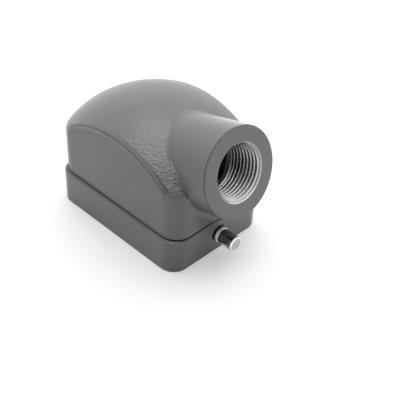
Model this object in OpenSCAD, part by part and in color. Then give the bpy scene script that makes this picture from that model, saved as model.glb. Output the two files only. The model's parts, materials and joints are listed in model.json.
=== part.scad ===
// Heavy duty rectangular connector: a die cast cable hood with an angled side entry, its locking
// pegs, and the screw terminal contact insert that is screwed up into it.
// Millimetres. The origin is the centre of the skirt's open lower edge, +X points to the cable
// entry and +Z points up, away from the mating face.

/* [Hood skirt] */
// Length over the skirt
hood_l = 60; // [52:0.5:80]
// Width over the skirt
hood_w = 43; // [38:0.5:56]
// Height of the skirt up to the ledge round the body
skirt_h = 13; // [11:0.5:18]
// Corner radius of the skirt
skirt_corner_r = 6; // [5:0.25:8]
// Wall thickness of the skirt
skirt_wall = 3.75; // [3:0.05:4.5]
// Radius along the skirt's upper outer edge
skirt_edge_r = 0.9; // [0.4:0.1:1.5]

/* [Hood body] */
// Height of the arched roof at its crown
crown_h = 47; // [42:0.5:58]
// Radius of the arch along the hood
crown_r = 44; // [40:0.5:60]
// Radius of the arch across the hood
cross_r = 41; // [36:0.5:56]
// Step from the skirt in to the end walls
end_step = 0.4; // [0.2:0.1:1]
// Step from the skirt in to the flat side panels
side_step = 1.1; // [0.9:0.1:2]
// How far the roof's edge stands out over the side panels
lip_out = 0.8; // [0.3:0.1:0.9]
// How far short of the end walls the outstanding edge stops
lip_end_in = 1.6; // [1.2:0.1:2.5]
// Radius of the cove under the roof's edge
cove_r = 3.4; // [1.5:0.1:5]
// Radius that rounds the roof's edge over
roof_edge_r = 1.2; // [0.6:0.1:2]
// Corner radius of the body at the side panels
body_corner_r = 7; // [5:0.25:9]
// Wall thickness of the body
body_wall = 3.4; // [2.4:0.1:4]
// Radius inside the hood where the roof meets the sides
inner_edge_r = 2; // [1:0.5:3]
// Depth of the relief line at the foot of the body
foot_groove_d = 0.35; // [0.1:0.05:0.6]
// Height of the relief line at the foot of the body
foot_groove_h = 0.45; // [0.2:0.05:0.8]

/* [Cable entry] */
// Distance of the entry face's centre past the skirt's end
entry_out = 7; // [5:0.5:12]
// Height of the entry face's centre
entry_z = 36.7; // [33:0.1:42]
// Upward tilt of the entry
entry_tilt = 15; // [0:1:25]
// Outer radius of the entry boss
boss_r = 15.6; // [14:0.1:17]
// Radius round the edge of the entry face
boss_edge_r = 0.8; // [0.3:0.1:1.5]
// Major radius of the entry thread
thread_r = 10; // [8:0.5:11]
// Depth of the entry thread
thread_len = 13; // [9:0.5:15]
// Chamfer at the mouth of the thread
thread_chamfer = 0.15; // [0.1:0.05:1]
// Radius of the plain bore behind the thread
core_r = 9.2; // [7:0.1:10]
// Depth of the boss inside the hood
sleeve_len = 14.9; // [13.5:0.1:17]
// Wall of the boss inside the hood
sleeve_wall = 2.6; // [2:0.1:3.5]

/* [Locking pegs] */
// Height of the pegs above the skirt's lower edge
peg_z = 7; // [5.5:0.25:8]
// Radius of a peg
peg_r = 2.65; // [2:0.05:3]
// How far a peg stands out of the skirt
peg_out = 8; // [6:0.5:11]
// Radius of the peg's collar
collar_r = 3.55; // [3.3:0.05:4]
// How far the collar stands out of the skirt
collar_out = 0.9; // [0.5:0.1:1.5]
// Chamfer at the end of a peg
peg_chamfer = 0.5; // [0.2:0.1:0.8]
// Depth of the spot face that seats the collar
spot_face_d = 0.8; // [0.4:0.1:1.2]
// Gap round the collar in its spot face
spot_face_gap = 0.5; // [0.2:0.1:0.8]
// Chamfer round the collar
collar_chamfer = 0.2; // [0.1:0.05:0.4]

/* [Insert] */
// Gap between the insert and the hood
insert_gap = 0.4; // [0.2:0.1:0.8]
// Depth of the insert's seat above the skirt's lower edge
seat_z = 11.5; // [10.5:0.25:13]
// Distance from the insert's end to its screws
screw_inset_x = 3.85; // [3.5:0.05:5]
// Distance from the insert's side to its screws
screw_inset_y = 3.1; // [2.8:0.05:5]
// Radius of the screw posts in the hood
post_r = 4; // [3.4:0.1:4.4]
// Gap from the table to the insert's mating edge
mating_gap = 1; // [0.5:0.25:2]
// Height of the insert's flange
flange_h = 3.2; // [2.4:0.1:4]
// Width of the mating shroud
shroud_w = 22; // [20:0.5:24]
// Wall thickness of the mating shroud
shroud_wall = 1.6; // [1.2:0.1:2]
// Corner radius of the mating shroud
shroud_corner_r = 1.5; // [1:0.1:2]
// Corner radius of the flange and the terminal body
body_edge_r = 1; // [0.5:0.1:1.5]
// Width of the terminal body
terminal_w = 24.4; // [23:0.2:26]
// Height of the terminal body above the flange
terminal_h = 14.5; // [13:0.5:18]
// Length of each end that the earth terminal takes
earth_zone = 7.25; // [7:0.25:9]

/* [Contacts] */
// Distance of each contact row from the middle
row_y = 6.2; // [5.6:0.1:6.6]
// Radius of a contact pin
pin_r = 1.25; // [0.8:0.05:1.5]
// How far the pin tips lie behind the mating edge
pin_recess = 1.5; // [1:0.25:3]
// Size of a terminal block
block = [7, 5.6, 9];
// How far the terminal blocks lie below the body's top
block_cover = 2.5; // [1.5:0.25:3]
// Size of the wire chamber in a terminal block
chamber = [3.4, 3, 7.5];
// How far the wire chamber lies in from the middle of its block
chamber_in = 0.3; // [0:0.1:0.6]
// Radius of a terminal screw's thread
terminal_screw_r = 1.5; // [1.2:0.1:1.7]
// Radius of a terminal screw's head
terminal_head_r = 2.4; // [2:0.1:2.6]
// Height of a terminal screw's head
terminal_head_h = 1.6; // [1.2:0.1:2]
// Gap between a terminal screw's head and its block
terminal_head_gap = 0.3; // [0.1:0.1:0.6]
// Thickness of a wire guard
guard_t = 0.4; // [0.3:0.05:0.5]
// Height of a wire guard's foot above the chamber's floor
guard_foot = 0.8; // [0.4:0.1:1.5]

/* [Earth terminals and insert screws] */
// Thickness of the earth bracket's sheet
bracket_t = 1.2; // [1:0.1:1.5]
// Width of the earth tab
earth_tab_w = 9; // [8:0.5:10]
// Height of the earth tab above the seat
earth_tab_h = 12; // [11:0.5:14]
// Gap between the terminal body and the earth tab
earth_tab_gap = 1.6; // [1.2:0.1:2]
// Height of the earth screw above the seat
earth_screw_up = 7; // [6:0.25:8]
// Width of the earth contact blade
blade_w = 6; // [4:0.5:8]
// How far the earth blade ends behind the mating edge
blade_recess = 2; // [1:0.25:3]
// Width of the earth clamp
clamp_w = 8; // [7:0.5:9]
// Height of the earth clamp
clamp_h = 7; // [6:0.5:8]
// Thickness of the earth clamp's sheet
clamp_t = 0.8; // [0.6:0.1:1]
// Depth of the earth clamp over its flanges
clamp_depth = 1.6; // [1.2:0.1:1.8]
// Radius of the earth screw's head
earth_head_r = 2.8; // [2.4:0.1:3]
// Height of the earth screw's head
earth_head_h = 1.8; // [1.5:0.1:2]
// Radius of the M4 screws
screw_r = 2; // [1.5:0.1:2.2]
// Radius of the M4 screws' heads
screw_head_r = 3.4; // [3:0.1:3.6]
// Height of the M4 screws' heads
screw_head_h = 2.2; // [1.8:0.1:2.6]
// Depth of the tapped holes in the posts
post_hole_d = 10; // [8:0.5:12]
// How far the insert screws end short of their holes
screw_short = 2; // [1:0.5:3]
// Thickness of the spring washers
washer_t = 0.7; // [0.5:0.1:0.9]
// Outer radius of the spring washers
washer_r = 3.2; // [2.8:0.1:3.4]
// Width of the split in the spring washers
washer_split = 0.6; // [0.4:0.1:1]

/* [Hidden] */
$fn = 96;
cut = 1;                  // how far a cutter runs past the face that it opens
slip = 0.05;              // radial clearance of a pin or screw in its own hole
fit = 0.1;                // clearance of a moulded pocket round what it holds
lap = 0.1;                // how far a shank runs into its own head, so that they are one solid
slot_w = 0.8;             // screwdriver slots
slot_d = 0.9;
columns = 3;              // contacts in a row: NODES names two rows of them

body_l = hood_l - 2 * end_step;
panel_w = hood_w - 2 * side_step;
body_w = panel_w + 2 * lip_out;
crown_centre_z = crown_h - crown_r;
cove_h = sqrt(2 * cove_r * lip_out - lip_out * lip_out);
lip_edge_y = body_w / 2 - roof_edge_r;
lip_edge_r = crown_r - cross_r + sqrt(pow(cross_r - roof_edge_r, 2) - pow(lip_edge_y, 2));
arch_r = lip_edge_r - cove_h;

entry_x = hood_l / 2 + entry_out;
boss_reach = entry_x / cos(entry_tilt);

bay_l = hood_l - 2 * skirt_wall;
bay_w = hood_w - 2 * skirt_wall;
bay_corner_r = skirt_corner_r - skirt_wall + 0.5;
wiring_l = body_l - 2 * body_wall;
wiring_w = panel_w - 2 * body_wall;

insert_l = bay_l - 2 * insert_gap;
insert_w = min(bay_w, wiring_w) - 2 * insert_gap;
screw_x = insert_l / 2 - screw_inset_x;
screw_y = insert_w / 2 - screw_inset_y;

core_l = insert_l - 2 * earth_zone;
plate_z = seat_z - bracket_t;
flange_top = plate_z + flange_h;
terminal_top = flange_top + terminal_h;
pitch = core_l / columns;
pin_tip_z = mating_gap + pin_recess;
block_z = terminal_top - block.z - block_cover;
chamber_y = row_y - chamber_in;
terminal_screw_z = block_z + block.z * 0.5;
guard_y = chamber_y + chamber.y / 2 - fit - guard_t;

plate_in_x = core_l / 2 + fit;
tab_x = core_l / 2 + earth_tab_gap;
earth_screw_z = seat_z + earth_screw_up;

ZINC_GREY = [0.45, 0.45, 0.44];
STEEL = [0.78, 0.77, 0.72];
MOULDING = [0.74, 0.74, 0.71];
SILVER = [0.85, 0.84, 0.80];

COLUMN_XS = [for (i = [0 : columns - 1]) (i - (columns - 1) / 2) * pitch];
SIDES = [-1, 1];

// ---- helpers ----

// Rounded rectangle, centred
module plan(l, w, r) {
    square([l - 2 * r, w], center = true);
    square([l, w - 2 * r], center = true);
    for (sx = SIDES, sy = SIDES)
        translate([sx * (l / 2 - r), sy * (w / 2 - r)])
            circle(r = r);
}

// Upright slab on a rounded rectangle, its upper edge rounded over
module soft_top_slab(l, w, h, corner_r, edge_r) {
    linear_extrude(h - edge_r) plan(l, w, corner_r);
    linear_extrude(h) plan(l - 2 * edge_r, w - 2 * edge_r, corner_r - edge_r);
    translate([0, 0, h - edge_r]) {
        for (s = SIDES) {
            translate([0, s * (w / 2 - edge_r), 0])
                rotate([0, 90, 0])
                    cylinder(r = edge_r, h = l - 2 * corner_r, center = true);
            translate([s * (l / 2 - edge_r), 0, 0])
                rotate([90, 0, 0])
                    cylinder(r = edge_r, h = w - 2 * corner_r, center = true);
        }
        for (sx = SIDES, sy = SIDES)
            translate([sx * (l / 2 - corner_r), sy * (w / 2 - corner_r), 0])
                rotate_extrude()
                    translate([corner_r - edge_r, 0])
                        circle(r = edge_r);
    }
}

// Places children on the cable entry's axis, +Z outwards, with the entry face at Z = 0
module at_entry() {
    translate([entry_x, 0, entry_z])
        rotate([0, 90 - entry_tilt, 0])
            children();
}

// Places children at one end, with +X outwards
module at_end(side) {
    rotate([0, 0, side > 0 ? 0 : 180])
        children();
}

// Contacts are numbered along the row on the -Y side, then along the +Y side
module at_contact(number) {
    row = number > columns ? 1 : 0;
    translate([COLUMN_XS[(number - 1) % columns], 0, 0])
        rotate([0, 0, row == 1 ? 0 : 180])
            children();
}

// Insert screws are numbered round the corners
module at_insert_screw(number) {
    corner = [[1, 1], [-1, 1], [-1, -1], [1, -1]][number - 1];
    translate([corner.x * screw_x, corner.y * screw_y, 0])
        children();
}

// Slotted round head with its seat at Z = 0 and its top at Z = h
module slotted_head(r, h) {
    difference() {
        union() {
            cylinder(r = r, h = h * 0.7);
            translate([0, 0, h * 0.7])
                cylinder(r1 = r, r2 = r * 0.85, h = h * 0.3);
        }
        translate([-r - cut, -slot_w / 2, h - slot_d])
            cube([2 * (r + cut), slot_w, slot_d + cut]);
    }
}

// ---- hood casting ----

// Barrel whose surface is the arched roof: an arc across the hood, swept round an axis along Y.
// inset moves the surface inwards, and edge_r rounds it over at half_w.
module roof_barrel(inset, half_w, edge_r) {
    across_r = cross_r - inset;
    offset_r = crown_r - cross_r;
    edge_y = half_w - edge_r;
    edge_x = offset_r + sqrt(pow(across_r - edge_r, 2) - edge_y * edge_y);
    tangent_y = edge_y * across_r / (across_r - edge_r);
    translate([0, 0, crown_centre_z])
        rotate([90, 0, 0])
            rotate_extrude() {
                intersection() {
                    translate([offset_r, 0]) circle(r = across_r);
                    translate([0, -tangent_y]) square([crown_r + cut, 2 * tangent_y]);
                }
                translate([0, -half_w]) square([edge_x, 2 * half_w]);
                for (s = SIDES) {
                    intersection() {
                        translate([edge_x, s * edge_y]) circle(r = edge_r);
                        translate([0, -half_w]) square([crown_r + cut, 2 * half_w]);
                    }
                }
            }
}

// Round cutter that leaves the roof's edge standing over the side panels, with a cove under it
module under_roof_cutter() {
    translate([0, 0, crown_centre_z])
        rotate([90, 0, 0])
            rotate_extrude() {
                translate([0, -hood_w]) square([arch_r, 2 * hood_w]);
                for (s = SIDES)
                    translate([arch_r, s * (panel_w / 2 + cove_r)])
                        circle(r = cove_r);
            }
}

module hood_body() {
    // walls, with the flat side panels
    intersection() {
        union() {
            linear_extrude(skirt_h + foot_groove_h + cut)
                plan(body_l - 2 * foot_groove_d, panel_w - 2 * foot_groove_d,
                     body_corner_r - foot_groove_d);
            translate([0, 0, skirt_h + foot_groove_h])
                linear_extrude(crown_h) plan(body_l, panel_w, body_corner_r);
        }
        roof_barrel(0, body_w / 2, roof_edge_r);
    }
    // the roof's edge, which stands out over the panels and runs out on the corners
    difference() {
        intersection() {
            translate([0, 0, skirt_h])
                linear_extrude(crown_h)
                    plan(body_l - 2 * lip_end_in, body_w, body_corner_r - lip_out);
            roof_barrel(0, body_w / 2, roof_edge_r);
        }
        under_roof_cutter();
    }
}

module entry_boss() {
    at_entry()
        rotate_extrude() {
            translate([0, -boss_reach]) square([boss_r, boss_reach - boss_edge_r]);
            translate([0, -boss_edge_r - cut]) square([boss_r - boss_edge_r, boss_edge_r + cut]);
            translate([boss_r - boss_edge_r, -boss_edge_r]) circle(r = boss_edge_r);
        }
}

// Posts for the insert's screws, cast up into the corners of the wiring space.
// gap widens them for what has to clear them.
module screw_posts(gap) {
    r = post_r + gap;
    translate([0, 0, seat_z])
        linear_extrude(crown_h)
            for (sx = SIDES, sy = SIDES)
                translate([sx * screw_x, sy * screw_y]) {
                    circle(r = r);
                    translate([sx > 0 ? 0 : -hood_l, -r]) square([hood_l, 2 * r]);
                    translate([-r, sy > 0 ? 0 : -hood_w]) square([2 * r, hood_w]);
                }
}

module hood_hollow() {
    // bay that the mating housing's collar enters
    translate([0, 0, -cut])
        linear_extrude(seat_z + cut)
            plan(bay_l, bay_w, bay_corner_r);
    // wiring space under the roof
    difference() {
        intersection() {
            linear_extrude(crown_h)
                plan(wiring_l, wiring_w, body_corner_r - body_wall);
            roof_barrel(body_wall, wiring_w / 2, inner_edge_r);
        }
        screw_posts(0);
        entry_sleeve();
    }
}

// The boss inside the hood, solid up to the roof so that the core below it can be drawn
module entry_sleeve() {
    r = thread_r + sleeve_wall;
    at_entry()
        translate([0, 0, -sleeve_len]) {
            cylinder(r = r, h = sleeve_len);
            translate([-crown_h, -r, 0]) cube([crown_h, 2 * r, sleeve_len]);
        }
}

module entry_bore() {
    bore_end = boss_reach - crown_r / 3;
    at_entry() {
        translate([0, 0, -thread_len])
            cylinder(r = thread_r, h = thread_len + cut);
        translate([0, 0, -thread_chamfer])
            cylinder(r1 = thread_r, r2 = thread_r + 2 * thread_chamfer, h = 2 * thread_chamfer);
        translate([0, 0, -bore_end])
            cylinder(r = core_r, h = bore_end);
    }
}

module peg_holes() {
    for (side = SIDES)
        at_end(side)
            translate([hood_l / 2, 0, peg_z])
                rotate([0, 90, 0]) {
                    translate([0, 0, -skirt_wall - cut])
                        cylinder(r = peg_r + slip, h = skirt_wall + 2 * cut);
                    translate([0, 0, -spot_face_d])
                        cylinder(r = collar_r + spot_face_gap, h = spot_face_d + cut);
                }
}

module hood_casting() {
    color(ZINC_GREY)
        difference() {
            union() {
                soft_top_slab(hood_l, hood_w, skirt_h, skirt_corner_r, skirt_edge_r);
                hood_body();
                entry_boss();
            }
            hood_hollow();
            entry_bore();
            peg_holes();
            for (number = [1 : 4])
                at_insert_screw(number)
                    translate([0, 0, seat_z - cut])
                        cylinder(r = screw_r, h = post_hole_d + cut);
        }
}

// ---- locking pegs ----

module locking_peg(side) {
    color(STEEL)
        at_end(side)
            translate([hood_l / 2, 0, peg_z])
                rotate([0, 90, 0]) {
                    translate([0, 0, -skirt_wall])
                        cylinder(r = peg_r, h = skirt_wall + peg_out - peg_chamfer);
                    translate([0, 0, peg_out - peg_chamfer])
                        cylinder(r1 = peg_r, r2 = peg_r - peg_chamfer, h = peg_chamfer);
                    translate([0, 0, -spot_face_d])
                        cylinder(r = collar_r, h = spot_face_d + collar_out - collar_chamfer);
                    translate([0, 0, collar_out - collar_chamfer])
                        cylinder(r1 = collar_r, r2 = collar_r - collar_chamfer, h = collar_chamfer);
                }
}

// ---- insert ----

module insert_body() {
    color(MOULDING)
        difference() {
            union() {
                // mating shroud
                translate([0, 0, mating_gap])
                    linear_extrude(plate_z - mating_gap)
                        plan(core_l - 2 * fit, shroud_w, shroud_corner_r);
                // flange between the earth brackets
                translate([0, 0, plate_z])
                    linear_extrude(flange_h)
                        plan(core_l + 2 * bracket_t, insert_w, body_edge_r);
                // terminal body
                translate([0, 0, flange_top])
                    linear_extrude(terminal_h)
                        plan(core_l, terminal_w, body_edge_r);
            }
            // inside of the shroud
            translate([0, 0, mating_gap - cut])
                linear_extrude(plate_z - mating_gap + cut)
                    plan(core_l - 2 * fit - 2 * shroud_wall, shroud_w - 2 * shroud_wall,
                         shroud_corner_r / 2);
            // seats of the earth brackets under the flange's ends
            for (side = SIDES)
                at_end(side)
                    translate([plate_in_x - fit, -insert_w / 2 - cut, plate_z - cut])
                        cube([hood_l, insert_w + 2 * cut, bracket_t + cut]);
            screw_posts(insert_gap);
            for (number = [1 : 2 * columns])
                at_contact(number)
                    contact_chamber();
        }
}

// Pocket, pin hole and screw access of one contact on the +Y side
module contact_chamber() {
    translate([0, row_y, mating_gap])
        cylinder(r = pin_r + slip, h = terminal_top);
    translate([-block.x / 2 - fit, row_y - block.y / 2 - fit, block_z])
        cube([block.x + 2 * fit, block.y + 2 * fit, terminal_top]);
    translate([0, row_y, terminal_screw_z])
        rotate([-90, 0, 0])
            cylinder(r = terminal_head_r + 3 * fit, h = terminal_w);
}

module contact_pin(number) {
    tip = pin_r * 0.6;
    color(SILVER)
        at_contact(number) {
            translate([0, row_y, pin_tip_z + tip])
                cylinder(r = pin_r, h = block_z - pin_tip_z - tip + cut);
            translate([0, row_y, pin_tip_z])
                cylinder(r1 = pin_r - tip / 2, r2 = pin_r, h = tip);
            difference() {
                translate([-block.x / 2, row_y - block.y / 2, block_z])
                    cube(block);
                translate([-chamber.x / 2, chamber_y - chamber.y / 2,
                           block_z + block.z - chamber.z])
                    cube([chamber.x, chamber.y, chamber.z + cut]);
                translate([0, chamber_y, terminal_screw_z])
                    rotate([-90, 0, 0])
                        cylinder(r = terminal_screw_r + slip, h = block.y);
            }
        }
}

// Leaf between the screw and the wire, hooked over the top of the terminal block
module wire_guard(number) {
    leaf_w = chamber.x - 2 * fit;
    leaf_foot = block_z + block.z - chamber.z + guard_foot;
    block_top = block_z + block.z;
    color(SILVER)
        at_contact(number) {
            translate([-leaf_w / 2, guard_y, leaf_foot])
                cube([leaf_w, guard_t, block_top + guard_t - leaf_foot]);
            translate([-leaf_w / 2, guard_y, block_top])
                cube([leaf_w, row_y + block.y / 2 - guard_y, guard_t]);
        }
}

module terminal_screw(number) {
    head_y = row_y + block.y / 2 + terminal_head_gap;
    shank = head_y - guard_y - guard_t;
    color(STEEL)
        at_contact(number)
            translate([0, head_y, terminal_screw_z])
                rotate([-90, 0, 0]) {
                    slotted_head(terminal_head_r, terminal_head_h);
                    translate([0, 0, -shank])
                        cylinder(r = terminal_screw_r, h = shank + lap);
                }
}

// Pressed end plate: fixing holes, an earth tab bent up and a contact blade bent down
module earth_bracket(side) {
    blade_foot = mating_gap + blade_recess;
    color(STEEL)
        at_end(side)
            difference() {
                union() {
                    translate([0, 0, plate_z])
                        linear_extrude(bracket_t)
                            intersection() {
                                plan(insert_l, insert_w, bay_corner_r);
                                translate([plate_in_x, -insert_w])
                                    square([insert_l, 2 * insert_w]);
                            }
                    translate([plate_in_x, -blade_w / 2, blade_foot])
                        cube([bracket_t, blade_w, seat_z - blade_foot]);
                    translate([tab_x, -earth_tab_w / 2, plate_z])
                        cube([bracket_t, earth_tab_w, bracket_t + earth_tab_h]);
                }
                for (s = SIDES)
                    translate([screw_x, s * screw_y, plate_z - cut])
                        cylinder(r = screw_r + 4 * slip, h = bracket_t + 2 * cut);
                translate([tab_x - cut, 0, earth_screw_z])
                    rotate([0, 90, 0])
                        cylinder(r = screw_r + slip, h = bracket_t + 2 * cut);
            }
}

// Channel between the earth screw's head and the tab, its flanges turned outwards
module earth_clamp(side) {
    color(STEEL)
        at_end(side)
            translate([tab_x + bracket_t, 0, earth_screw_z])
                difference() {
                    union() {
                        translate([0, -clamp_w / 2, -clamp_h / 2])
                            cube([clamp_t, clamp_w, clamp_h]);
                        for (s = SIDES)
                            translate([0, s * (clamp_w - clamp_t) / 2 - clamp_t / 2, -clamp_h / 2])
                                cube([clamp_depth, clamp_t, clamp_h]);
                    }
                    translate([-cut, 0, 0])
                        rotate([0, 90, 0])
                            cylinder(r = screw_r + slip, h = clamp_t + 2 * cut);
                }
}

module earth_screw(side) {
    shank = clamp_t + bracket_t + cut;
    color(STEEL)
        at_end(side)
            translate([tab_x + bracket_t + clamp_t, 0, earth_screw_z])
                rotate([0, 90, 0]) {
                    slotted_head(earth_head_r, earth_head_h);
                    translate([0, 0, -shank])
                        cylinder(r = screw_r, h = shank + lap);
                }
}

module insert_screw(number) {
    shank = washer_t + bracket_t + post_hole_d - screw_short;
    color(STEEL)
        at_insert_screw(number)
            translate([0, 0, plate_z - washer_t])
                rotate([180, 0, 0]) {
                    slotted_head(screw_head_r, screw_head_h);
                    translate([0, 0, -shank])
                        cylinder(r = screw_r - slip, h = shank + lap);
                }
}

// Split spring washers under the heads of the insert screws
module spring_washers() {
    color(STEEL)
        for (number = [1 : 4])
            at_insert_screw(number)
                translate([0, 0, plate_z - washer_t])
                    difference() {
                        cylinder(r = washer_r, h = washer_t);
                        translate([0, 0, -cut])
                            cylinder(r = screw_r + slip, h = washer_t + 2 * cut);
                        translate([0, -washer_split / 2, -cut])
                            cube([washer_r + cut, washer_split, washer_t + 2 * cut]);
                    }
}

hood_casting();
locking_peg(1);  // locking_peg_entry_end
locking_peg(-1);  // locking_peg_far_end
insert_body();
for (number = [1 : 2 * columns]) {
    contact_pin(number);
    terminal_screw(number);
    wire_guard(number);
}
earth_bracket(1);  // earth_bracket_entry_end
earth_bracket(-1);  // earth_bracket_far_end
earth_clamp(1);  // earth_clamp_entry_end
earth_clamp(-1);  // earth_clamp_far_end
earth_screw(1);  // earth_screw_entry_end
earth_screw(-1);  // earth_screw_far_end
for (number = [1 : 4])
    insert_screw(number);
spring_washers();
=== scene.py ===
"""Looks of a heavy duty rectangular connector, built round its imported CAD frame.

The hood casting is rebuilt from distance fields, so that its edges and the roots of its cable
boss are blended as a die casting's are. The entry thread is a real helix that lines a bore. X
points out towards the cable entry, Y across the hood and Z up. Sizes are in millimetres, and
become metres where a mesh or a material is made.
"""

import json
import math

import bpy
import numpy as np
from mathutils import Matrix, Vector


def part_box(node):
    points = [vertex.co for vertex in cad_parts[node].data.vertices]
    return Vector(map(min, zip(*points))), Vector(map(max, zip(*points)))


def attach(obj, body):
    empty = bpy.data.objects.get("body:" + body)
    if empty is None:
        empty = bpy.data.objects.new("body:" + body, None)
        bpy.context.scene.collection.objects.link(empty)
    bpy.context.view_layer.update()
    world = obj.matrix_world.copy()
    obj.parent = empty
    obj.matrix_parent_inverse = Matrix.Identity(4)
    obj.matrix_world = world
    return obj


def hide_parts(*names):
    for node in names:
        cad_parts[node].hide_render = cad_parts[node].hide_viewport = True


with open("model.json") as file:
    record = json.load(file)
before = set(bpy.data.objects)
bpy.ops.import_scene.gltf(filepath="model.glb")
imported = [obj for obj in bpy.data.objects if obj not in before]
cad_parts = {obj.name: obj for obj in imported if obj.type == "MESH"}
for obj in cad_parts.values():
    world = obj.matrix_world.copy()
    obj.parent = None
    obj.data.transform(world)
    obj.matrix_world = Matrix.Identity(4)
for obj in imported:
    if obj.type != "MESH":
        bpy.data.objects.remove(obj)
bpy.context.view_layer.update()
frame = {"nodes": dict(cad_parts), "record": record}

MM = 0.001

# ---- sizes of the hood, in millimetres ----

hood_low, hood_high = (np.array(corner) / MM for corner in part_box("hood_casting"))
mounts = {mount["name"]: mount for mount in frame["record"]["mounts"]}

HALF_L = -hood_low[0]
HALF_W = hood_high[1]
SKIRT_H = 13.0
SKIRT_CORNER = 6.0
SKIRT_EDGE = 0.9
SKIRT_FOOT_EDGE = 0.3
SKIRT_WALL = 3.75
BAY_CORNER = 2.75

# The roof: an arc of CROSS_R across the hood, swept so that its crest is an arc of CROWN_R.
CROWN_H = 47.0
CROWN_R = 44.0
CROSS_R = 41.0
CROWN_CENTRE = CROWN_H - CROWN_R
BODY_HALF_L = HALF_L - 0.4
PANEL_HALF_W = HALF_W - 1.1
BODY_CORNER = 6.4
BODY_WALL = 3.4
END_EDGE = 1.2
INNER_EDGE = 2.0

# The lip of the roof over the side panels, and the hollow curve under it.
LIP_OUT = 0.8
LIP_EDGE = 0.6
LIP_END_IN = 2.6
COVE_R = 5.0

# The groove at the foot of the body: its radius on the side panels and on the ends, and its place.
GROOVE_SIDE_R = 0.19
GROOVE_R = 0.28
GROOVE_UP = 0.12
GROOVE_IN = 0.8
GROOVE_OUT = 0.2

# The boss, and how its root goes with the height: fillets, and where they end in a crease.
BOSS_R = 15.6
BOSS_EDGE = 0.25
BOSS_REACH = 38.0
ROOT_HEIGHTS = (24.0, 29.0, 33.0, 36.0, 39.5)
ROOT_FILLETS = (0.8, 1.2, 1.9, 1.9, 0.9)
ROOF_CREASE_HEIGHTS = (37.0, 39.5, 44.5, 46.0)
BOSS_CREASE_HEIGHTS = (22.0, 27.0, 36.0, 39.0)
CREASE_SINK = 0.45

# The inside: the ledge that the insert seats on, the screw posts and the entry's sleeve.
SEAT_Z = 11.5
POST_R = 4.0
POST_HOLE_R = 2.0
POST_HOLE_D = 10.0

# ---- sizes of the entry and the pegs, in millimetres ----

entry_axis = np.array(mounts["cable_entry"]["axis"])
ENTRY_FACE = np.array([HALF_L + 7.0, 0.0, 36.7])
THREAD_MAJOR = mounts["cable_entry"]["dims"]["r_mm"]
THREAD_PITCH = 1.5
THREAD_DEPTH = 0.5413 * THREAD_PITCH
THREAD_LEN = 13.0
THREAD_FADE = 0.7
# Half the crest's flat, and where the root's flat starts from the crest, in pitches.
CREST_HALF = 1 / 8
ROOT_FROM_CREST = 7 / 16
CHAMFER = 0.15
MOUTH_R = THREAD_MAJOR + CHAMFER
CORE_R = 9.2
CORE_END = 23.6
SLEEVE_LEN = 14.9
SLEEVE_R = THREAD_MAJOR + 2.6
# The linings of bare metal: how thin they get, and how far they stand off the bore behind them.
LINING_T = 0.03
LINING_GAP = 0.003

PEG_Z = 7.0
PEG_R = mounts["locking_peg_entry_end"]["dims"]["r_mm"]
PEG_OUT = 8.0
PEG_IN = 3.0
PEG_CHAMFER = 0.5
PEG_NECK_R = 2.35
PEG_HOLE_D = 5.0
COLLAR_R = 2.85
COLLAR_SPAN = (0.5, 1.8)
COLLAR_ROUND = 0.25
SPOT_R = 3.1
SPOT_D = 0.8

# ---- how finely the meshes are made ----

# The grid over the casting, which is finer at the groove's height, and the one over its inside.
GRID_STEP = 0.42
GRID_MARGIN = 0.8
FINE_STEP = 0.12
FINE_HEIGHTS = (SKIRT_H - 1.0, SKIRT_H + 0.8)
HOLLOW_STEP = 0.9
# The least share of a direction that a corner follows, and the step that a slope is taken over.
EDGE_SENSE = 0.01
SLOPE_STEP = 0.02
TINY = 1e-9
# How far a cutter stands out of the face that it cuts.
CUT_OVER = 1.0

# Points round each turned shape, and rows for each pitch of the thread.
BORE_TURNS = 160
PEG_HOLE_TURNS = 64
SCREW_HOLE_TURNS = 32
THREAD_TURNS = 192
THREAD_ROWS = 24
LINING_TURNS = 128
PEG_TURNS = 96
BEAD_STEPS = 6

# Edges of more than this many degrees stay sharp.
SHARP_IN_CASTING = 28
SHARP_IN_TURNING = 25

# ---- small mesh tools ----


def put_in_scene(name, data):
    thing = bpy.data.objects.new(name, data)
    bpy.context.collection.objects.link(thing)
    return thing


def new_object(name, points_mm, faces, material):
    """Makes a mesh object from points in millimetres."""
    mesh = bpy.data.meshes.new(name)
    points = np.asarray(points_mm, dtype=np.float64) * MM
    mesh.from_pydata(points.tolist(), [], faces)
    mesh.validate()
    mesh.update()
    mesh.materials.append(material)
    return put_in_scene(name, mesh)


def smooth_by_angle(thing, degrees):
    """Shades smooth, and keeps edges sharper than the angle."""
    mesh = thing.data
    mesh.polygons.foreach_set("use_smooth", np.ones(len(mesh.polygons), dtype=bool))
    mesh.set_sharp_from_angle(angle=math.radians(degrees))


def lathe(profile, turns):
    """Points and faces of a closed solid of revolution about +Z.

    profile is a closed ring of (radius, height) pairs, or an open one that starts and ends on
    the axis.
    """
    points = []
    rings = []
    for radius, height in profile:
        if radius == 0:
            rings.append([len(points)] * turns)
            points.append((0.0, 0.0, height))
            continue
        rings.append(list(range(len(points), len(points) + turns)))
        for step in range(turns):
            angle = 2 * math.pi * step / turns
            points.append((radius * math.cos(angle), radius * math.sin(angle), height))
    pairs = list(zip(rings, rings[1:]))
    if profile[0][0] != 0:
        pairs.append((rings[-1], rings[0]))
    faces = []
    for lower, upper in pairs:
        for step in range(turns):
            after = (step + 1) % turns
            corners = [lower[step], lower[after], upper[after], upper[step]]
            face = [corner for n, corner in enumerate(corners) if corner != corners[n - 1]]
            if len(face) > 2:
                faces.append(face)
    return np.array(points), faces


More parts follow.
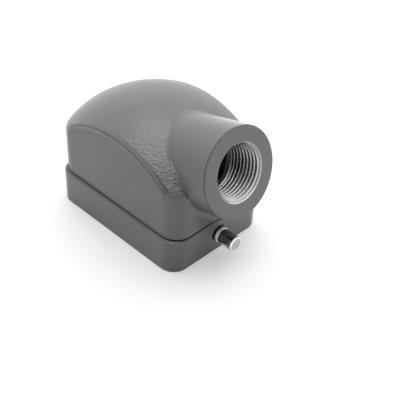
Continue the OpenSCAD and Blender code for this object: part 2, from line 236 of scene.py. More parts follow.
def axis_frame(origin, axis):
    """Rotation and origin that carry +Z onto an axis square to Y, with +Y kept as it is."""
    axis = np.asarray(axis, dtype=float)
    side = np.array([0.0, 1.0, 0.0])
    up = np.cross(axis, side)
    return np.stack([up, side, axis], axis=1), np.asarray(origin, dtype=float)


def placed(points, place):
    """Points carried to a place that axis_frame gives."""
    rotation, origin = place
    return points @ rotation.T + origin


def cut(thing, cutter):
    """Takes one mesh out of another."""
    modifier = thing.modifiers.new("cut", "BOOLEAN")
    modifier.operation = "DIFFERENCE"
    modifier.solver = "EXACT"
    modifier.object = cutter
    bpy.context.view_layer.objects.active = thing
    bpy.ops.object.modifier_apply(modifier=modifier.name)
    bpy.data.objects.remove(cutter)


def drill(thing, profile, place, turns):
    """Takes a turned shape out of a mesh."""
    points, faces = lathe(profile, turns)
    cut(thing, new_object("cutter", placed(points, place), faces, thing.data.materials[0]))


entry_place = axis_frame(ENTRY_FACE, entry_axis)
peg_places = [axis_frame([side * HALF_L, 0, PEG_Z], [side, 0, 0]) for side in (1, -1)]
screw_spots = []
for number in range(1, 5):
    low, high = (np.array(corner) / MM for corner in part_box(f"insert_screw_{number}"))
    screw_spots.append((low + high) / 2)
POST_X, POST_Y = np.abs(screw_spots[0][:2])

# ---- distance fields of the hood: negative inside, in millimetres ----


def plan_distance(x, y, half_l, half_w, corner):
    """Rounded rectangle, seen from above."""
    over_x = np.abs(x) - (half_l - corner)
    over_y = np.abs(y) - (half_w - corner)
    beyond = np.hypot(np.maximum(over_x, 0), np.maximum(over_y, 0))
    return beyond + np.minimum(np.maximum(over_x, over_y), 0) - corner


def rounded_and(a, b, radius):
    """What lies in both, with its edge rounded over."""
    edge = np.hypot(np.maximum(a + radius, 0), np.maximum(b + radius, 0))
    return np.minimum(np.maximum(a, b), -radius) + edge


def rounded_or(a, b, radius):
    """What lies in either, with a fillet where they meet."""
    edge = np.hypot(np.maximum(radius - a, 0), np.maximum(radius - b, 0))
    return np.maximum(np.minimum(a, b), radius) - edge


def slope(field, x, y, z):
    """Unit gradient of a field."""
    step = SLOPE_STEP
    gradient = np.stack([
        field(x + step, y, z) - field(x - step, y, z),
        field(x, y + step, z) - field(x, y - step, z),
        field(x, y, z + step) - field(x, y, z - step),
    ])
    return gradient / np.maximum(np.linalg.norm(gradient, axis=0), TINY)


def roof(x, y, z, inset=0.0):
    """The arched roof: an arc across the hood, swept round an axis along Y."""
    around = np.hypot(x, z - CROWN_CENTRE) - (CROWN_R - CROSS_R)
    return np.hypot(around, y) - (CROSS_R - inset)


def hood_body(x, y, z):
    """Walls and roof, with the roof's edge standing out over the flat side panels."""
    walls = rounded_and(
        plan_distance(x, y, BODY_HALF_L, PANEL_HALF_W, BODY_CORNER), roof(x, y, z), END_EDGE)
    lip_plan = plan_distance(
        x, y, BODY_HALF_L - LIP_END_IN, PANEL_HALF_W + LIP_OUT, BODY_CORNER - LIP_OUT)
    edge_y = PANEL_HALF_W + LIP_OUT - LIP_EDGE
    lip_r = CROWN_R - CROSS_R + math.sqrt((CROSS_R - LIP_EDGE) ** 2 - edge_y ** 2)
    arch_r = lip_r - math.sqrt(2 * COVE_R * LIP_OUT - LIP_OUT ** 2)
    around = np.hypot(x, z - CROWN_CENTRE) - arch_r
    cove = np.hypot(around, np.abs(y) - (PANEL_HALF_W + COVE_R)) - COVE_R
    lip = np.maximum(
        rounded_and(lip_plan, roof(x, y, z), LIP_EDGE), -np.minimum(around, cove))
    return np.minimum(walls, lip)


def entry_coordinates(x, z):
    """Distance out along the entry's axis from its face, and distance up from the axis."""
    along = (x - ENTRY_FACE[0]) * entry_axis[0] + (z - ENTRY_FACE[2]) * entry_axis[2]
    up = (z - ENTRY_FACE[2]) * entry_axis[0] - (x - ENTRY_FACE[0]) * entry_axis[2]
    return along, up


def boss(x, y, z):
    """The tilted boss of the cable entry."""
    along, up = entry_coordinates(x, z)
    shaft = rounded_and(np.hypot(y, up) - BOSS_R, along, BOSS_EDGE)
    return np.maximum(shaft, -BOSS_REACH - along)


def body_with_boss(x, y, z):
    """Joins boss and body with a fillet whose radius follows the height.

    The fillet is drawn to surfaces a little below the real ones where it should end in a crease:
    on the roof side of the boss's shoulder, and on the boss side lower down.
    """
    radius = np.interp(z, ROOT_HEIGHTS, ROOT_FILLETS)
    body = hood_body(x, y, z)
    neck = boss(x, y, z)
    sink = (0, CREASE_SINK, CREASE_SINK, 0)
    roof_sink = np.interp(z, ROOF_CREASE_HEIGHTS, sink)
    neck_sink = np.interp(z, BOSS_CREASE_HEIGHTS, sink)
    fillet = rounded_or(body + roof_sink, neck + neck_sink, radius)
    return np.minimum(np.minimum(body, neck), fillet)


def skirt(x, y, z):
    """The rim with its rounded ledge."""
    plan = plan_distance(x, y, HALF_L, HALF_W, SKIRT_CORNER)
    return rounded_and(rounded_and(plan, z - SKIRT_H, SKIRT_EDGE), -z, SKIRT_FOOT_EDGE)


def hollow(x, y, z):
    """The bay that the mating housing enters, and the wiring space with its screw posts.

    The two run into each other halfway up the bay.
    """
    bay = plan_distance(x, y, HALF_L - SKIRT_WALL, HALF_W - SKIRT_WALL, BAY_CORNER)
    bay = np.maximum(bay, z - SEAT_Z)
    wiring = plan_distance(
        x, y, BODY_HALF_L - BODY_WALL, PANEL_HALF_W - BODY_WALL, BODY_CORNER - BODY_WALL)
    wiring = rounded_and(wiring, roof(x, y, z, BODY_WALL), INNER_EDGE)
    post = np.hypot(
        np.maximum(POST_X - np.abs(x), 0), np.maximum(POST_Y - np.abs(y), 0)) - POST_R
    along, up = entry_coordinates(x, z)
    sleeve = np.maximum(np.hypot(y, np.minimum(up, 0)) - SLEEVE_R, -SLEEVE_LEN - along)
    wiring = np.maximum(wiring, -np.minimum(post, sleeve))
    both = np.minimum(bay, np.maximum(wiring, 0.5 * SEAT_Z - z))
    return np.maximum(both, -CUT_OVER - z)


def outside(x, y, z):
    """The casting's outer form. The body starts halfway up inside the skirt."""
    body = np.maximum(body_with_boss(x, y, z), 0.5 * SKIRT_H - z)
    solid = np.minimum(body, skirt(x, y, z))
    foot = plan_distance(x, y, BODY_HALF_L, PANEL_HALF_W, BODY_CORNER)
    deeper = np.maximum(-GROOVE_IN - foot, foot - GROOVE_OUT)
    groove_r = np.interp(
        np.abs(x), (BODY_HALF_L - BODY_CORNER, BODY_HALF_L - 0.5 * BODY_CORNER),
        (GROOVE_SIDE_R, GROOVE_R))
    groove = np.hypot(np.maximum(deeper, 0), z - SKIRT_H - GROOVE_UP) - groove_r
    return np.maximum(solid, -groove)


# ---- meshing ----


def grid_lines(low, high, step, fine=None):
    """Grid lines from low to high, closer together inside the fine span."""
    lines = [low]
    while lines[-1] < high:
        close = fine is not None and fine[0] - TINY <= lines[-1] < fine[1]
        lines.append(lines[-1] + (FINE_STEP if close else step))
    return np.array(lines)


def edge_corners(spots, normals, owners, count):
    """For each cell, the point that lies nearest to all the tangent planes through its spots."""
    middle = np.zeros((count, 3))
    tally = np.bincount(owners, minlength=count)
    for axis in range(3):
        middle[:, axis] = np.bincount(owners, spots[:, axis], minlength=count) / tally
    offset = np.einsum("ij,ij->i", normals, spots - middle[owners])
    matrix = np.zeros((count, 3, 3))
    pull = np.zeros((count, 3))
    for i in range(3):
        pull[:, i] = np.bincount(owners, normals[:, i] * offset, minlength=count)
        for j in range(3):
            matrix[:, i, j] = np.bincount(owners, normals[:, i] * normals[:, j], minlength=count)
    sizes, directions = np.linalg.eigh(matrix)
    kept = sizes > EDGE_SENSE * sizes[:, 2:]
    along = np.einsum("nji,nj->ni", directions, pull) * kept / np.where(kept, sizes, 1)
    return middle + np.einsum("nij,nj->ni", directions, along)


def settled(field, points, rounds):
    """Points moved onto the zero surface."""
    for _ in range(rounds):
        points = points - (field(*points.T) * slope(field, *points.T)).T
    return points


def surface_net(field, *lines):
    """Quads on the zero surface of a field, with corners drawn onto its edges.

    Each grid line that crosses the surface gives one quad, between the four cells round it.
    """
    grid = np.meshgrid(*lines, indexing="ij")
    value = field(*(side.ravel() for side in grid)).reshape(grid[0].shape)
    inside = value < 0
    cells = tuple(len(side) - 1 for side in lines)
    spots = []
    rings = []
    flips = []
    for axis in range(3):
        lower = [slice(None)] * 3
        upper = [slice(None)] * 3
        lower[axis] = slice(0, -1)
        upper[axis] = slice(1, None)
        crossing = np.argwhere(inside[tuple(lower)] != inside[tuple(upper)])
        after = crossing.copy()
        after[:, axis] += 1
        v0 = value[tuple(crossing.T)]
        v1 = value[tuple(after.T)]
        share = v0 / (v0 - v1)
        spot = np.stack([lines[k][crossing[:, k]] for k in range(3)], axis=1)
        spot[:, axis] += share * (lines[axis][after[:, axis]] - lines[axis][crossing[:, axis]])
        ring = []
        for step_one, step_two in ((-1, -1), (0, -1), (0, 0), (-1, 0)):
            cell = crossing.copy()
            cell[:, (axis + 1) % 3] += step_one
            cell[:, (axis + 2) % 3] += step_two
            ring.append(np.ravel_multi_index(cell.T, cells))
        spots.append(spot)
        rings.append(np.stack(ring, axis=1))
        flips.append(v0 > 0)
    rings = np.concatenate(rings)
    spots = settled(field, np.concatenate(spots), rounds=1)
    normals = slope(field, *spots.T).T
    used, owners = np.unique(rings.ravel(), return_inverse=True)
    points = edge_corners(
        np.repeat(spots, 4, axis=0), np.repeat(normals, 4, axis=0), owners.ravel(), len(used))
    points = settled(field, points, rounds=3)
    faces = owners.reshape(rings.shape)
    flips = np.concatenate(flips)
    faces[flips] = faces[flips][:, ::-1]
    return points, faces.tolist()


# ---- where the looks of a surface change ----
#
# Each is a fade, or a pair of them, in millimetres: where it starts and where it is full. OFF is
# measured from the entry's axis, AXIAL out along it from its face, and ARCH from the axis that the
# roof is swept round.

# The coat: its thick patch, which also carries a painted highlight, the boss's face with its
# painted light, the painted shade at that face's rim and in the corners, and the smooth top.
THICK_COAT_HIGHLIGHT_OFF = (BOSS_R + 0.1, BOSS_R + 0.7)
THICK_COAT_HIGHLIGHT_X = (-2.0, 20.0)
THICK_COAT_HIGHLIGHT_Y = (-7.0, -12.0)
THICK_COAT_HIGHLIGHT_PANEL_Y = (-PANEL_HALF_W + 0.05, -PANEL_HALF_W + 0.8)
THICK_COAT_HIGHLIGHT_Z = (29.0, 31.5)
COAT_RELIEF_Z = (33.0, 40.0)
FACE_AXIAL = (-0.04, -0.01)
BOSS_SKIN_OFF = ((BOSS_R - 0.3, BOSS_R - 0.1), (BOSS_R + 0.3, BOSS_R + 0.1))
RIM_AXIAL = ((-0.55, -0.4), (-0.04, -0.12))
UNDER_BOSS_X = (28.0, 30.0)
UNDER_BOSS_Z = (29.8, 28.4)
UNDER_LIP_ARCH = ((34.4, 37.0), (38.3, 38.0))
UNDER_LIP_Y = (PANEL_HALF_W - 0.2, PANEL_HALF_W - 0.05)
SMOOTH_X = (12.0, 25.0)
SMOOTH_Y = (-3.0, 4.0)

# How much the cloud lightens the coat, and how much the thick patch's painted highlight and the
# boss face's painted light add; and the relief of its grain and, low and high up, of its wrinkles.
CLOUD_SHADE = 0.3
THICK_PAINTED_HIGHLIGHT = 0.7
FACE_PAINTED_LIGHT = 0.45
GRAIN_MM = 0.04
WRINKLE_MM = (2.3, 0.8)

# The bare thread: the painted shade in its roots, and deep inside and at the top of the mouth.
THREAD_ROOT_OFF = (CORE_R + 0.1, THREAD_MAJOR - 0.1)
THREAD_ROOT_AXIAL = (-0.2, -0.4)
THREAD_ROOT_Z = (26.0, 30.0)
THREAD_DEEP_AXIAL = (-10.0, -2.5)
THREAD_DEEP_Z = (26.5, 30.0)
THREAD_TOP_AXIAL = (-0.4, -0.8)
THREAD_TOP_Z = (37.0, 42.0)

# How gradually the looks of a peg change along it, and at its end.
PEG_FADE = 0.1
PEG_END_FADE = 0.05

# ---- materials ----

# The colour sockets of a Mix node: two inputs and the output.
COLOUR_A, COLOUR_B, COLOUR_OUT = 6, 7, 2


class Shader:
    """Short form of building one Principled material. Sockets are named with _ for a space."""

    def __init__(self, name):
        self.material = bpy.data.materials.new(name)
        self.material.use_nodes = True
        self.tree = self.material.node_tree
        self.shader = self.tree.nodes["Principled BSDF"]
        self.place = self.add("ShaderNodeTexCoord").outputs["Object"]

    def add(self, kind, **settings):
        node = self.tree.nodes.new(kind)
        for key, value in settings.items():
            setattr(node, key, value)
        return node

    def link(self, output, socket):
        self.tree.links.new(output, socket)

    def set(self, **values):
        """Gives sockets of the shader a fixed value."""
        for key, value in values.items():
            self.shader.inputs[key.replace("_", " ")].default_value = value

    def feed(self, **outputs):
        """Links outputs to sockets of the shader."""
        for key, output in outputs.items():
            self.link(output, self.shader.inputs[key.replace("_", " ")])

    def noise(self, size_mm, detail=2.0, roughness=0.5, scale=None):
        """Noise with features of about the given size, in coordinates that scale multiplies."""
        node = self.add("ShaderNodeTexNoise")
        node.inputs["Scale"].default_value = 1 / (size_mm * MM)
        node.inputs["Detail"].default_value = detail
        node.inputs["Roughness"].default_value = roughness
        place = self.place
        if scale is not None:
            mapping = self.add("ShaderNodeMapping")
            self.link(place, mapping.inputs["Vector"])
            mapping.inputs["Scale"].default_value = scale
            place = mapping.outputs["Vector"]
        self.link(place, node.inputs["Vector"])
        return node.outputs["Fac"]

    def maths(self, operation, *terms):
        """Maths on outputs and numbers."""
        node = self.add("ShaderNodeMath", operation=operation)
        for socket, term in zip(node.inputs, terms):
            if isinstance(term, float):
                socket.default_value = term
            else:
                self.link(term, socket)
        return node.outputs[0]

    def times(self, a, b):
        return self.maths("MULTIPLY", a, b)

    def plus(self, a, b):
        return self.maths("ADD", a, b)

    def axes(self):
        """The coordinates along X, Y and Z, in metres."""
        node = self.add("ShaderNodeSeparateXYZ")
        self.link(self.place, node.inputs[0])
        return node.outputs

    def vector_maths(self, operation, vector, other=()):
        """Maths on a vector and, for most operations, three numbers."""
        node = self.add("ShaderNodeVectorMath", operation=operation)
        self.link(vector, node.inputs[0])
        if len(other):
            node.inputs[1].default_value = tuple(other)
        return node.outputs

    def from_axis(self, origin_mm, axis):
        """Distance in metres from an axis."""
        offset = self.vector_maths("SUBTRACT", self.place, np.array(origin_mm) * MM)
        across = self.vector_maths("CROSS_PRODUCT", offset["Vector"], axis)
        return self.vector_maths("LENGTH", across["Vector"])["Value"]

    def along_entry(self):
        """Distance in metres out along the entry's axis from its face."""
        offset = self.vector_maths("SUBTRACT", self.place, ENTRY_FACE * MM)
        return self.vector_maths("DOT_PRODUCT", offset["Vector"], entry_axis)["Value"]

    def span(self, value, low, high, from_low=0.0, from_high=1.0):
        """Maps a value onto a range."""
        node = self.add("ShaderNodeMapRange")
        node.inputs["From Min"].default_value = from_low
        node.inputs["From Max"].default_value = from_high
        node.inputs["To Min"].default_value = low
        node.inputs["To Max"].default_value = high
        self.link(value, node.inputs["Value"])
        return node.outputs["Result"]

    def fade(self, distance, fade_mm, low=0.0, high=1.0):
        """Goes from low to high while a distance in metres goes through a fade."""
        start, full = fade_mm
        return self.span(distance, low, high, start * MM, full * MM)

    def patch(self, *fades):
        """1 where all the fades are full and 0 where one hasn't started."""
        mask = self.fade(*fades[0])
        for distance, fade_mm in fades[1:]:
            mask = self.times(mask, self.fade(distance, fade_mm))
        return mask

    def tint(self, value, at_zero, at_one):
        """Base colour between two colours."""
        mix = self.add("ShaderNodeMix", data_type="RGBA")
        self.link(value, mix.inputs["Factor"])
        mix.inputs[COLOUR_A].default_value = (*at_zero, 1)
        mix.inputs[COLOUR_B].default_value = (*at_one, 1)
        self.feed(Base_Color=mix.outputs[COLOUR_OUT])

    def cover(self, mask, colour, strength=1.0):
        """Lays another colour over the base colour, at its full strength where the mask is 1."""
        under = self.shader.inputs["Base Color"].links[0].from_socket
        mix = self.add("ShaderNodeMix", data_type="RGBA")
        self.link(self.times(mask, strength), mix.inputs["Factor"])
        self.link(under, mix.inputs[COLOUR_A])
        mix.inputs[COLOUR_B].default_value = (*colour, 1)
        self.feed(Base_Color=mix.outputs[COLOUR_OUT])

    def rough(self, value, low, high):
        self.feed(Roughness=self.span(value, low, high))

    def bump(self, height, height_mm):
        """Bump whose full height is height_mm."""
        node = self.add("ShaderNodeBump")
        node.inputs["Strength"].default_value = 1.0
        node.inputs["Distance"].default_value = height_mm * MM
        self.link(height, node.inputs["Height"])
        self.feed(Normal=node.outputs["Normal"], Coat_Normal=node.outputs["Normal"])


def powder_coat():
    """Satin grey powder coat: fine grain, wrinkled where it lies thick beside the boss's root.

    It has a painted highlight on its thick patch and painted light on the boss's face, painted
    shade at the face's rim and in the corners under the boss and under the roof's lip, and runs
    out smooth over the top of the boss.
    """
    made = Shader("powder_coat")
    made.set(IOR=1.5, Coat_Roughness=0.12)
    cloud = made.noise(size_mm=9.0, detail=4.0)
    grain = made.noise(size_mm=0.45, detail=3.0, roughness=0.65)
    wrinkle = made.noise(size_mm=0.75, detail=1.5, roughness=0.6, scale=(0.6, 0.6, 1.4))
    x, y, z = made.axes()
    off = made.from_axis(ENTRY_FACE, entry_axis)
    axial = made.along_entry()

    # The thick patch beside the boss's root: its wrinkles are real relief, while its lighter
    # colour is a painted highlight.
    thick_and_highlight = made.patch((off, THICK_COAT_HIGHLIGHT_OFF), (x, THICK_COAT_HIGHLIGHT_X), (y, THICK_COAT_HIGHLIGHT_Y),
                       (y, THICK_COAT_HIGHLIGHT_PANEL_Y), (z, THICK_COAT_HIGHLIGHT_Z))
    shade = made.plus(made.times(cloud, CLOUD_SHADE), made.times(thick_and_highlight, THICK_PAINTED_HIGHLIGHT))
    # Painted light: the coat is coloured lighter over the boss's face.
    shade = made.plus(shade, made.fade(axial, FACE_AXIAL, high=FACE_PAINTED_LIGHT))
    made.tint(shade, at_zero=(0.171, 0.171, 0.166), at_one=(0.243, 0.243, 0.236))

    boss_skin = made.patch(*((off, fade) for fade in BOSS_SKIN_OFF))
    # Painted shade: the coat is darkened in the crease under the boss.
    painted_shade_under_boss = made.times(boss_skin, made.patch((x, UNDER_BOSS_X), (z, UNDER_BOSS_Z)))
    made.cover(painted_shade_under_boss, colour=(0.05, 0.05, 0.045), strength=0.6)
    # Painted shade: a dark line is coloured along the rim of the boss's face.
    painted_rim_shade = made.patch(*((axial, fade) for fade in RIM_AXIAL))
    made.cover(painted_rim_shade, colour=(0.04, 0.04, 0.035), strength=0.85)
    # Painted shade: the coat is darkened in the hollow under the roof's lip.
    arch = made.from_axis((0.0, 0.0, CROWN_CENTRE), (0.0, 1.0, 0.0))
    outward = made.maths("ABSOLUTE", y)
    painted_shade_under_lip = made.patch(*((arch, fade) for fade in UNDER_LIP_ARCH), (outward, UNDER_LIP_Y))
    made.cover(painted_shade_under_lip, colour=(0.09, 0.09, 0.085), strength=0.5)

    smooth = made.times(boss_skin, made.patch((y, SMOOTH_Y), (x, SMOOTH_X)))
    made.feed(Coat_Weight=made.span(smooth, low=0.2, high=1.0))
    made.rough(grain, low=0.28, high=0.40)
    relief = made.times(thick_and_highlight, made.fade(z, COAT_RELIEF_Z, *WRINKLE_MM))
    height = made.plus(made.times(grain, GRAIN_MM), made.times(wrinkle, relief))
    made.bump(height, height_mm=1.0)
    return made.material


def bright_metal(name, dark, light, rough, mark_mm, height_mm):
    """Plated metal with fine machining marks."""
    made = Shader(name)
    made.set(Metallic=1.0)
    marks = made.noise(size_mm=mark_mm, detail=3.0)
    made.tint(marks, dark, light)
    made.rough(marks, *rough)
    made.bump(marks, height_mm)
    return made.material


def peg_metal():
    """Turned steel: painted dark reflections streak the shank, painted shade fills the undercut at
    the wall, bright on the collar, with a dulled end.
    """
    made = Shader("turned_steel")
    made.set(Metallic=1.0)
    streaks = made.noise(size_mm=0.5, scale=(0.12, 1.0, 1.0))
    out = made.maths("ABSOLUTE", made.axes()["X"])

    def between(start, end):
        """1 from start to end, measured out from the skirt in millimetres."""
        start, end = HALF_L + start, HALF_L + end
        return made.patch((out, (start - PEG_FADE, start + PEG_FADE)),
                          (out, (end + PEG_FADE, end - PEG_FADE)))

    collar, shank = COLLAR_SPAN
    # Painted reflection: the shank between the collar and the chamfer is coloured near black in
    # streaks, for the dark surroundings that it reflects.
    dark = made.times(
        between(shank, PEG_OUT - PEG_CHAMFER),
        made.span(streaks, low=1.0, high=0.55, from_low=0.35, from_high=0.65))
    made.tint(dark, at_zero=(0.86, 0.85, 0.80), at_one=(0.04, 0.04, 0.03))
    # Painted shade: the undercut at the wall and the part inside the hole are coloured near black.
    made.cover(between(-PEG_IN, collar), colour=(0.02, 0.02, 0.02))
    rings = made.noise(size_mm=0.35, scale=(0.0, 1.0, 1.0))
    end = made.fade(out, (HALF_L + PEG_OUT - PEG_END_FADE, HALF_L + PEG_OUT))
    made.cover(made.times(end, rings), colour=(0.12, 0.12, 0.11))
    made.feed(Roughness=made.plus(
        made.span(streaks, low=0.14, high=0.24),
        made.span(between(collar, shank), low=0.0, high=0.3)))
    return made.material


def threaded_metal():
    """Bare machined aluminium, bright on the crests, with painted shade in the roots and higher up
    inside.
    """
    made = Shader("bare_aluminium")
    made.set(Metallic=0.5)
    off = made.from_axis(ENTRY_FACE, entry_axis)
    axial = made.along_entry()
    z = made.axes()["Z"]
    # Painted shade: the thread's roots are coloured darker, more so higher up.
    root = made.patch((off, THREAD_ROOT_OFF), (axial, THREAD_ROOT_AXIAL))
    root = made.times(root, made.fade(z, THREAD_ROOT_Z, low=0.5))
    made.tint(root, at_zero=(0.90, 0.90, 0.88), at_one=(0.26, 0.26, 0.25))
    # Painted shade: the bore is coloured darker deep inside and at the top of its mouth.
    painted_deep_shade = made.times(made.fade(z, THREAD_DEEP_Z),
                      made.fade(axial, THREAD_DEEP_AXIAL, low=0.8, high=0.15))
    painted_top_shade = made.times(made.fade(z, THREAD_TOP_Z, high=0.7), made.fade(axial, THREAD_TOP_AXIAL))
    made.cover(made.plus(painted_deep_shade, painted_top_shade), colour=(0.11, 0.11, 0.105))
    made.rough(made.noise(size_mm=2.0), low=0.14, high=0.22)
    return made.material


def cast_metal():
    """Dull unpainted casting."""
    made = Shader("cast_aluminium")
    made.set(Metallic=0.1)
    streaks = made.noise(size_mm=0.8, detail=3.0)
    made.tint(streaks, at_zero=(0.80, 0.80, 0.79), at_one=(0.97, 0.97, 0.96))
    made.rough(streaks, low=0.35, high=0.5)
    made.bump(streaks, height_mm=0.03)
    return made.material


def moulding():
    """Matte glass filled plastic."""
    made = Shader("insert_moulding")
    grain = made.noise(size_mm=0.4, detail=3.0)
    made.tint(made.noise(size_mm=6.0), at_zero=(0.50, 0.50, 0.47), at_one=(0.56, 0.56, 0.53))
    made.rough(grain, low=0.45, high=0.62)
    made.bump(grain, height_mm=0.02)
    return made.material


# ---- pieces ----


def make_hood(material):
    """The casting: its outer form, less the hollow, the entry and the peg and screw holes."""
    low, high = hood_low - GRID_MARGIN, hood_high + GRID_MARGIN
    lines = [grid_lines(low[k], high[k], GRID_STEP, FINE_HEIGHTS if k == 2 else None)
             for k in range(3)]
    points, faces = surface_net(outside, *lines)
    hood = new_object("hood", points, faces, material)

    low = (hood_low[0], hood_low[1], -2 * CUT_OVER)
    lines = [grid_lines(low[k], hood_high[k], HOLLOW_STEP) for k in range(3)]
    points, faces = surface_net(hollow, *lines)
    cut(hood, new_object("cutter", points, faces, material))

    bore = [
        (0, CUT_OVER), (MOUTH_R, CUT_OVER), (MOUTH_R, 0), (THREAD_MAJOR, -CHAMFER),
        (THREAD_MAJOR, -THREAD_LEN), (CORE_R, -THREAD_LEN), (CORE_R, -CORE_END), (0, -CORE_END),
    ]
    drill(hood, bore, entry_place, BORE_TURNS)
    peg_hole = [
        (0, CUT_OVER), (SPOT_R, CUT_OVER), (SPOT_R, -SPOT_D), (PEG_R, -SPOT_D),
        (PEG_R, -PEG_HOLE_D), (0, -PEG_HOLE_D),
    ]
    for place in peg_places:
        drill(hood, peg_hole, place, PEG_HOLE_TURNS)
    screw_hole = [
        (0, POST_HOLE_D), (POST_HOLE_R, POST_HOLE_D), (POST_HOLE_R, -CUT_OVER), (0, -CUT_OVER),
    ]
    for spot in screw_spots:
        place = np.eye(3), np.array([spot[0], spot[1], SEAT_Z])
        drill(hood, screw_hole, place, SCREW_HOLE_TURNS)
    smooth_by_angle(hood, SHARP_IN_CASTING)
    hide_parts("hood_casting")
    return hood


def thread_radius(depth, angle):
    """Inner radius of the entry: a 60 degree thread behind its chamfer, faded out at its end."""
    phase = (depth / THREAD_PITCH - angle / (2 * math.pi)) % 1.0
    from_crest = np.abs(phase - 0.5)
    rise = np.clip((from_crest - CREST_HALF) / (ROOT_FROM_CREST - CREST_HALF), 0, 1)
    root = THREAD_MAJOR - LINING_T
    root = CORE_R + (root - CORE_R) * np.clip((THREAD_LEN - depth) / THREAD_FADE, 0, 1)
    thread = root - np.minimum(root - CORE_R, THREAD_DEPTH) * (1 - rise)
    return np.maximum(thread, MOUTH_R - LINING_T - depth)


def make_thread(material):
    """Lining of bare metal: the chamfered mouth and the helix behind it."""
    turns = THREAD_TURNS
    depths = np.linspace(0, THREAD_LEN, int(THREAD_LEN / THREAD_PITCH * THREAD_ROWS))
    angles = np.linspace(0, 2 * math.pi, turns, endpoint=False)
    depth, angle = np.meshgrid(depths, angles, indexing="ij")
    inner = thread_radius(depth, angle)
    back = [(THREAD_MAJOR, THREAD_LEN), (THREAD_MAJOR, CHAMFER), (MOUTH_R, 0.0)]
    radius = np.concatenate([inner] + [np.full((1, turns), r - LINING_GAP) for r, _ in back])
    depth = np.concatenate([depth] + [np.full((1, turns), d) for _, d in back])
    angle = np.concatenate([angle, np.repeat(angle[:1], len(back), axis=0)])
    points = np.stack([radius * np.cos(angle), radius * np.sin(angle), -depth], axis=-1)
    points = placed(points.reshape(-1, 3), entry_place)
    rows = len(radius)
    faces = []
    for row in range(rows):
        after_row = (row + 1) % rows
        for step in range(turns):
            after = (step + 1) % turns
            faces.append((row * turns + step, after_row * turns + step,
                          after_row * turns + after, row * turns + after))
    thread = new_object("entry_thread", points, faces, material)
    smooth_by_angle(thread, SHARP_IN_TURNING)
    return thread


def make_core_lining(material):
    """Skin of unpainted casting over the plain bore behind the thread."""
    outer, inner = CORE_R - LINING_GAP, CORE_R - LINING_T
    ring = [(outer, -THREAD_LEN), (outer, -SLEEVE_LEN), (inner, -SLEEVE_LEN), (inner, -THREAD_LEN)]
    points, faces = lathe(ring, LINING_TURNS)
    lining = new_object("entry_core_lining", placed(points, entry_place), faces, material)
    smooth_by_angle(lining, SHARP_IN_TURNING)
    return lining


def make_peg(name, node, place, material):
    """Turned locking peg: undercut at the wall, rounded collar, chamfered end."""
    near, far = COLLAR_SPAN
    profile = [(0, -PEG_IN), (PEG_NECK_R, -PEG_IN), (PEG_NECK_R, near)]
    for centre, start in ((near + COLLAR_ROUND, -90), (far - COLLAR_ROUND, 0)):
        for step in range(BEAD_STEPS + 1):
            angle = math.radians(start + 90 * step / BEAD_STEPS)
            profile.append((COLLAR_R - COLLAR_ROUND + COLLAR_ROUND * math.cos(angle),
                            centre + COLLAR_ROUND * math.sin(angle)))
    profile += [(PEG_R, far), (PEG_R, PEG_OUT - PEG_CHAMFER), (PEG_R - PEG_CHAMFER, PEG_OUT),
                (0, PEG_OUT)]
    points, faces = lathe(profile, PEG_TURNS)
    peg = new_object(name, placed(points, place), faces, material)
    smooth_by_angle(peg, SHARP_IN_TURNING)
    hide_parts(node)
    return peg


paint = powder_coat()
turned = peg_metal()
bare = threaded_metal()
cast = cast_metal()

looks = {
    "powder_coat": paint,
    "nickel_steel": bright_metal(
        "nickel_plate", dark=(0.66, 0.63, 0.56), light=(0.80, 0.77, 0.70),
        rough=(0.16, 0.30), mark_mm=0.5, height_mm=0.004),
    "zinc_steel": bright_metal(
        "zinc_plate", dark=(0.55, 0.56, 0.58), light=(0.68, 0.69, 0.71),
        rough=(0.28, 0.45), mark_mm=0.6, height_mm=0.006),
    "silver_contact": bright_metal(
        "silver_plate", dark=(0.78, 0.76, 0.70), light=(0.88, 0.86, 0.80),
        rough=(0.20, 0.34), mark_mm=0.6, height_mm=0.004),
    "insert_moulding": moulding(),
}
for part in frame["record"]["subparts"]:
    for material_slot in frame["nodes"][part["node"]].material_slots:
        material_slot.material = looks[part["material_slot"]]

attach(make_hood(paint), "root")
for end, place in zip(("entry_end", "far_end"), peg_places):
    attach(make_peg(f"peg_{end}", f"locking_peg_{end}", place, turned), "root")
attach(make_thread(bare), "root")
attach(make_core_lining(cast), "root")

# ---- stage ----

FLOOR_HALF = 2000.0
SENSOR = 36.0


def show_plainly(tree, lit, plain, output):
    """Keeps one shader for the light, and shows another where the backdrop is seen.

    It is seen by rays from the camera, and by reflected and refracted ones.
    """
    path = tree.nodes.new("ShaderNodeLightPath")
    seen = path.outputs["Is Camera Ray"]
    for name in ("Is Glossy Ray", "Is Transmission Ray"):
        larger = tree.nodes.new("ShaderNodeMath")
        larger.operation = "MAXIMUM"
        tree.links.new(seen, larger.inputs[0])
        tree.links.new(path.outputs[name], larger.inputs[1])
        seen = larger.outputs[0]
    pick = tree.nodes.new("ShaderNodeMixShader")
    for socket, source in zip(pick.inputs, (seen, lit.outputs[0], plain.outputs[0])):
        tree.links.new(source, socket)
    tree.links.new(pick.outputs[0], output.inputs["Surface"])


def floor_material(grey, glow):
    """Pale matte floor that looks white where no shadow falls on it."""
    material = bpy.data.materials.new("pale_floor")
    material.use_nodes = True
    tree = material.node_tree
    shader = tree.nodes["Principled BSDF"]
    shader.inputs["Base Color"].default_value = (grey, grey, grey, 1)
    shader.inputs["Roughness"].default_value = 0.9
    shader.inputs["Specular IOR Level"].default_value = 0.0
    emission = tree.nodes.new("ShaderNodeEmission")
    emission.inputs["Strength"].default_value = glow
    both = tree.nodes.new("ShaderNodeAddShader")
    tree.links.new(shader.outputs[0], both.inputs[0])
    tree.links.new(emission.outputs[0], both.inputs[1])
    show_plainly(tree, shader, both, tree.nodes["Material Output"])
    return material


def make_floor(material):
    half = FLOOR_HALF
    corners = [(-half, -half, 0), (half, -half, 0), (half, half, 0), (-half, half, 0)]
    floor = new_object("floor", corners, [(0, 1, 2, 3)], material)


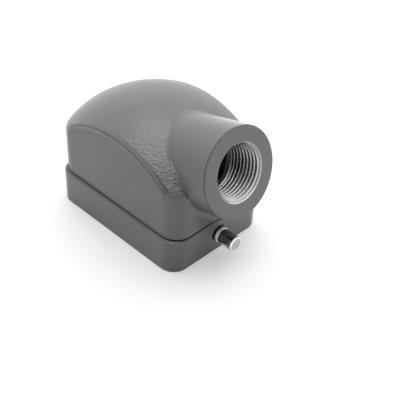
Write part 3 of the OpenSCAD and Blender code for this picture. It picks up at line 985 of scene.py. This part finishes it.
def make_world(towards, strength):
    """White light, strongest from one side and fading to none behind, seen as plain white."""
    world = bpy.data.worlds.new("studio")
    world.use_nodes = True
    tree = world.node_tree
    place = tree.nodes.new("ShaderNodeTexCoord")
    facing = tree.nodes.new("ShaderNodeVectorMath")
    facing.operation = "DOT_PRODUCT"
    facing.inputs[1].default_value = Vector(towards).normalized()
    level = tree.nodes.new("ShaderNodeMapRange")
    level.inputs["To Max"].default_value = strength
    light = tree.nodes["Background"]
    tree.links.new(place.outputs["Generated"], facing.inputs[0])
    tree.links.new(facing.outputs["Value"], level.inputs["Value"])
    tree.links.new(level.outputs["Result"], light.inputs["Strength"])
    white = tree.nodes.new("ShaderNodeBackground")
    for background in (light, white):
        background.inputs["Color"].default_value = (1, 1, 1, 1)
    show_plainly(tree, light, white, tree.nodes["World Output"])
    bpy.context.scene.world = world


def aimed(place, aim):
    """Rotation that points -Z from a place to an aim, with +Y up."""
    return (Vector(aim) - Vector(place)).to_track_quat("-Z", "Y")


def make_lamp(name, place, aim, size, power):
    lamp = bpy.data.lights.new(name, "AREA")
    lamp.shape = "DISK"
    lamp.size = size
    lamp.energy = power
    thing = put_in_scene(name, lamp)
    thing.location = place
    thing.rotation_euler = aimed(place, aim).to_euler()


def make_camera(place, aim, roll_degrees, lens):
    camera = bpy.data.cameras.new("camera")
    camera.lens = lens
    camera.sensor_width = SENSOR
    camera.clip_start = 0.01
    thing = put_in_scene("camera", camera)
    roll = Matrix.Rotation(math.radians(roll_degrees), 4, "Z")
    thing.matrix_world = Matrix.Translation(place) @ aimed(place, aim).to_matrix().to_4x4() @ roll
    bpy.context.scene.camera = thing


make_floor(floor_material(grey=0.66, glow=0.41))
make_world(towards=(-0.59, 0.62, 0.515), strength=1.86)
make_lamp("top_softbox", place=(0.0, 0.0, 0.80), aim=(0, 0, 0), size=0.746, power=2.8)
make_camera(place=(0.1755, -0.1663, 0.2010), aim=(0.0204, 0.0, 0.0157), roll_degrees=2.95,
            lens=77.5)
bpy.context.scene.view_settings.view_transform = "Standard"
